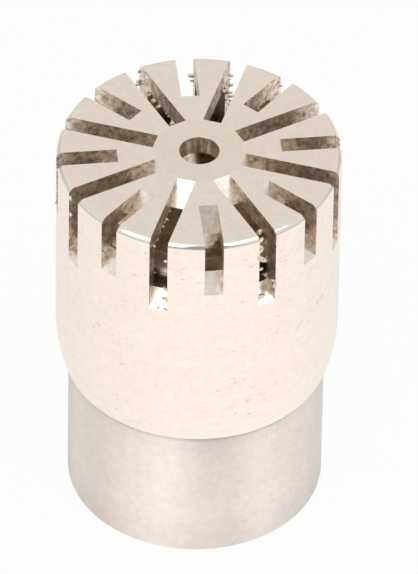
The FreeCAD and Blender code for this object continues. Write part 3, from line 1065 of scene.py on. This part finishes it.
def quartz_material():
    """Clear fused quartz with a faint cloudiness."""
    material = bpy.data.materials.new("fused_quartz")
    material.use_nodes = True
    tree = material.node_tree
    place = add_node(tree, "ShaderNodeTexCoord").outputs["Object"]
    haze = scaled_noise(tree, place, (900.0, 900.0, 900.0), detail=3.0)
    feed(tree.nodes["Principled BSDF"], {
        "Transmission Weight": 1.0,
        "IOR": 1.46,
        "Roughness": math_step(tree, "MULTIPLY", haze, 0.12),
        "Base Color": blend(tree, haze, (0.93, 0.95, 0.96, 1.0), (0.85, 0.88, 0.90, 1.0)),
    })
    return material


def bevelled_ring(inner, outer, foot, top, edge):
    """Outline of a ring whose outer corners are broken."""
    outside = [(outer - edge, foot), (outer, foot + edge), (outer, top - edge), (outer - edge, top)]
    return [(inner, foot), *outside, (inner, top)]


insulator_outline = bevelled_ring(stem_hole_radius, insulator_radius, insulator_foot_z, insulator_top_z,
                                  insulator_edge)
drill = round_bar("vent_drill", vent_hole_radius, insulator_foot_z - drill_overrun,
                  insulator_top_z + drill_overrun,
                  vent_hole_circle)
cut_piece("quartz_disc", insulator_outline, 192, drill, 1, 0.0, quartz_material(), "insulator")

drawn_silver = metal("drawn_silver", (0.92, 0.90, 0.86), 0.2, blotch=0.2, turned_lines=0.2, scratches=0.0,
                     pits=0.2)
wire_place = vent_hole_circle + vent_hole_radius - vent_wire_radius
wire = round_bar("vent_wire_work", vent_wire_radius, insulator_foot_z - vent_wire_stand,
                 insulator_top_z + vent_wire_stand, wire_place)
finished("choke_wire", applied(wire), drawn_silver, "capsule", "vent_wire")

# Spacer, spring and lock ring. A shim in front of the quartz sets the foil's air gap. A coned spring behind
# it takes up the pressure of the threaded lock ring, whose rear face has four slots for a spanner.
seat_shim_top_z = 6.52
spring_foot_z = 4.95
spring_thickness = 0.08
spring_outer = 2.36
spring_inner = 1.86
lock_ring_foot_z = 4.25
lock_ring_bore = 1.82
lock_ring_edge = 0.06
spanner_slot_count = 4
spanner_slot_width = 0.36
spanner_slot_depth = 0.28
spanner_slot_overrun = 0.2
spanner_slot_reach = 0.5
spring_steel = metal("spring_steel", (0.60, 0.59, 0.58), 0.25, blotch=0.2, turned_lines=0.4, scratches=0.1)
shim_outline = flat_ring(lip_radius, insulator_radius, insulator_top_z, seat_shim_top_z)
spring_outline = [
    (spring_outer, spring_foot_z),
    (spring_outer, spring_foot_z + spring_thickness),
    (spring_inner, insulator_foot_z),
    (spring_inner, insulator_foot_z - spring_thickness),
]
turned_piece("gap_shim", shim_outline, 192, spring_steel, "spacer_ring")
turned_piece("coned_spring", spring_outline, 192, spring_steel, "spring_washer")

box = bmesh.new()
box_height = lock_ring_foot_z + (spanner_slot_depth - spanner_slot_overrun) / 2
box_size = (insulator_radius, spanner_slot_width, spanner_slot_depth + spanner_slot_overrun, 1)
box_place = Matrix.Translation((insulator_radius / 2 + spanner_slot_reach, 0, box_height))
bmesh.ops.create_cube(box, size=1.0, matrix=box_place @ Matrix.Diagonal(box_size))
box_mesh = bpy.data.meshes.new("spanner_cutter")
box.to_mesh(box_mesh)
box.free()
lock_outline = bevelled_ring(lock_ring_bore, insulator_radius, lock_ring_foot_z, spring_foot_z,
                             lock_ring_edge)
cut_piece("slotted_lock_ring", lock_outline, 192, scene_object("spanner_cutter", box_mesh),
          spanner_slot_count,
          math.pi / spanner_slot_count, turned_ring, "lock_ring")

# Terminal. A washer and a small brass nut draw the electrode on to the quartz, and a gold-plated cap on the
# end of the stem is the output contact in the rear socket.
stem_washer_radius = 0.95
nut_top_z = 5.07
nut_foot_z = 4.57
nut_flat_radius = 0.72
nut_corner_break = 0.05
nut_steps = 96
contact_face_z = 3.1
contact_radius = 0.62
contact_edge = 0.08
nut_brass = metal("nut_brass", (0.80, 0.61, 0.30), 0.28, blotch=0.3, turned_lines=0.5, scratches=0.2,
                  pits=0.3)
gold_plate = metal("gold_plate", (1.0, 0.74, 0.34), 0.16, blotch=0.1, turned_lines=0.3, scratches=0.1,
                   pits=0.1)
stem_washer_outline = flat_ring(stem_hole_radius, stem_washer_radius, nut_top_z, insulator_foot_z)
turned_piece("stem_washer_ring", stem_washer_outline, 128, nut_brass, "stem_washer")


def hexagon_nut():
    """Hexagon nut in mm, with its corners turned back at the rear face."""
    corner = nut_flat_radius / math.cos(math.pi / 6)
    turned_radius = corner - nut_corner_break
    vertices, faces = [], []
    for i in range(nut_steps):
        angle = 2 * math.pi * i / nut_steps
        off_flat = (angle + math.pi / 6) % (math.pi / 3) - math.pi / 6
        side = nut_flat_radius / math.cos(math.pi / 6 - abs(off_flat))
        profile = [
            (stem_hole_radius, nut_foot_z),
            (min(side, turned_radius), nut_foot_z),
            (side, nut_foot_z + max(0.0, side - turned_radius)),
            (side, nut_top_z),
            (stem_hole_radius, nut_top_z),
        ]
        vertices += [(radius * math.cos(angle), radius * math.sin(angle), z) for radius, z in profile]
        count = len(profile)
        here, there = i * count, (i + 1) % nut_steps * count
        faces += [(here + j, there + j, there + (j + 1) % count,
                   here + (j + 1) % count) for j in range(count)]
    return closed_mesh("hexagon_nut", vertices, faces, merge=1e-5)


finished("hexagon_nut", hexagon_nut(), nut_brass, "capsule", "stem_nut")

contact_outline = [
    (0, contact_face_z),
    *quarter_round((contact_radius - contact_edge, contact_face_z + contact_edge), contact_edge, -90, 0),
    (contact_radius, nut_foot_z),
    (stem_hole_radius, nut_foot_z),
    (stem_hole_radius, stem_foot_z),
    (0, stem_foot_z),
]
turned_piece("contact_cap", contact_outline, 128, gold_plate, "contact_terminal")


def lay_out(tree):
    """Sets a tree's nodes out in columns, each left of all that it feeds, for whoever opens the tree."""
    columns = {node.name: 0 for node in tree.nodes}
    links = [(link.from_node.name, link.to_node.name) for link in tree.links]
    for _ in columns:
        for giver, taker in links:
            columns[giver] = max(columns[giver], columns[taker] + 1)
    rows = {}
    for node in tree.nodes:
        column = columns[node.name]
        rows[column] = rows.get(column, 0) + 1
        node.location = (-220 * column, -280 * rows[column])


for tree in (world.node_tree, paper.node_tree, *bpy.data.node_groups):
    lay_out(tree)
